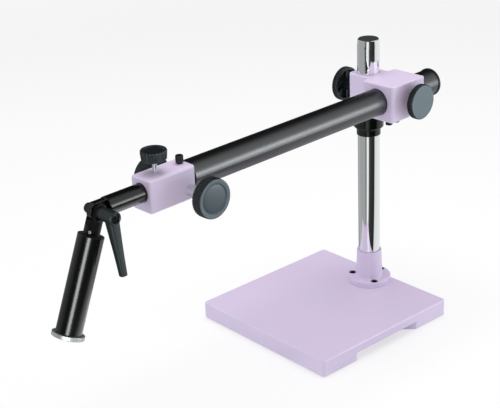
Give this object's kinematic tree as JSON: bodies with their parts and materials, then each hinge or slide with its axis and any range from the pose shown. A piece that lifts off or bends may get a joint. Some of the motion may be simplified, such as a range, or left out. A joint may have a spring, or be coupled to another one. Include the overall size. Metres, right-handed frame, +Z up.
{
  "type": "microscope boom stand",
  "caption": "Boom stand for a stereo microscope: square base, column, sliding boom, rack-driven extension rod and a tilting drop post for the focus mount.",
  "frame": {"origin": "centre of the square base's footprint, on the bench", "axes": "+Z up; -Y forward, the way the boom reaches (2.2 degrees towards +X at rest); +X to the side on which the boom passes the column"},
  "size_m": [0.255, 0.6914, 0.408],
  "materials": {
    "lilac_paint": "satin, fine texture",
    "chrome": "polished",
    "boom_grey": "satin",
    "black_metal": "satin",
    "collar_black": "gloss",
    "black_plastic": "fine moulded texture",
    "bright_steel": "turned",
    "zinc_steel": "zinc plated",
    "black_oxide": "black oxide",
    "brass": "turned",
    "rubber": "matt"
  },
  "bodies": {
    "stand": {"base_plate": "lilac_paint", "foot_pads": "rubber", "column_socket": "lilac_paint", "socket_screws": "black_oxide", "column_tube": "chrome", "column_foot_plug": "bright_steel", "column_bolt": "black_oxide", "column_cap": "black_plastic"},
    "collar": {"safety_collar": "collar_black", "collar_screw": "black_oxide"},
    "arm_block": {"clamp_block": "lilac_paint", "guide_screws": "black_oxide", "column_brake_shoe": "brass", "boom_brake_shoe": "brass"},
    "column_knob": {"column_clamp_knob": "black_plastic", "column_clamp_screw": "zinc_steel"},
    "boom_knob": {"boom_clamp_knob": "black_plastic", "boom_clamp_screw": "zinc_steel"},
    "boom": {"boom_tube": "boom_grey", "boom_end_cap": "black_plastic", "spigot_screw": "black_oxide"},
    "head": {"drive_head": "lilac_paint", "rod_brake_shoe": "brass", "bush_right": "bright_steel", "bush_left": "bright_steel"},
    "tension": {"tension_screw": "black_oxide"},
    "rod_lock": {"rod_lock_knob": "black_plastic", "rod_lock_screw": "zinc_steel"},
    "pinion": {"pinion_shaft": "bright_steel", "pinion_gear": "brass", "drive_knob_right": "black_plastic", "drive_knob_left": "black_plastic", "drive_knob_screws": "black_oxide"},
    "rod": {"extension_rod": "black_metal", "rod_rack": "bright_steel", "rack_screws": "black_oxide"},
    "post": {"post_fork": "black_metal", "drop_post": "black_metal", "fork_screw": "bright_steel", "pivot_bolt": "black_oxide", "pivot_washers": "bright_steel"},
    "lever_core": {"lever_insert": "black_oxide", "lever_spring": "bright_steel", "lever_screw": "black_oxide"},
    "lever": {"clamp_lever": "black_plastic"},
    "disc": {"retaining_disc": "bright_steel", "disc_screw": "black_oxide"}
  },
  "joints": [
    {"name": "collar_slide", "type": "slide", "parent": "stand", "child": "collar", "axis": [0, 0, 1], "range_m": [-0.14, 0.045]},
    {"name": "arm_swing", "type": "hinge", "parent": "collar", "child": "arm_block", "pos_m": [0, 0.099, 0.3317], "axis": [0, 0, 1], "continuous": true},
    {"name": "column_knob_turn", "type": "hinge", "parent": "arm_block", "child": "column_knob", "pos_m": [-0.04057, 0.09744, 0.3317], "axis": [-0.9993, -0.0384, 0], "range_deg": [0, 720]},
    {"name": "boom_knob_turn", "type": "hinge", "parent": "arm_block", "child": "boom_knob", "pos_m": [0.08778, 0.10637, 0.3317], "axis": [0.9993, 0.0384, 0], "range_deg": [0, 720]},
    {"name": "boom_reach", "type": "slide", "parent": "arm_block", "child": "boom", "axis": [0.0384, -0.9993, 0], "range_m": [-0.35, 0.044]},
    {"name": "boom_roll", "type": "hinge", "parent": "boom", "child": "head", "pos_m": [0.06101, -0.29095, 0.3317], "axis": [0.0384, -0.9993, 0], "continuous": true},
    {"name": "tension_turn", "type": "hinge", "parent": "head", "child": "tension", "pos_m": [0.06137, -0.30034, 0.3567], "axis": [0, 0, 1], "range_deg": [-180, 180]},
    {"name": "rod_lock_turn", "type": "hinge", "parent": "head", "child": "rod_lock", "pos_m": [0.06287, -0.33921, 0.3717], "axis": [0, 0, 1], "range_deg": [0, 720]},
    {"name": "pinion_turn", "type": "hinge", "parent": "head", "child": "pinion", "pos_m": [0.06137, -0.30034, 0.3197], "axis": [0.9993, 0.0384, 0], "range_deg": [-402, 1434]},
    {"name": "rod_extend", "type": "slide", "parent": "head", "child": "rod", "axis": [0.0384, -0.9993, 0], "range_m": [-0.042, 0.15]},
    {"name": "post_tilt", "type": "hinge", "parent": "rod", "child": "post", "pos_m": [0.06634, -0.42944, 0.3302], "axis": [-0.9993, -0.0384, 0], "range_deg": [-30, 67.5]},
    {"name": "lever_turn", "type": "hinge", "parent": "post", "child": "lever_core", "pos_m": [0.08632, -0.42867, 0.3302], "axis": [0.9993, 0.0384, 0], "range_deg": [-60, 60]},
    {"name": "lever_lift", "type": "slide", "parent": "lever_core", "child": "lever", "axis": [0.9993, 0.0384, 0], "range_m": [0, 0.003], "stiffness_N_per_m": 1000, "springref_m": -0.004},
    {"name": "disc_off", "type": "slide", "parent": "post", "child": "disc", "axis": [0.0147, -0.3824, -0.9239], "range_m": [0, 0.06]}
  ],
  "couplings": [
    {"joint": "pinion_turn", "follows": "rod_extend", "rad_per_m": 166.67}
  ]
}
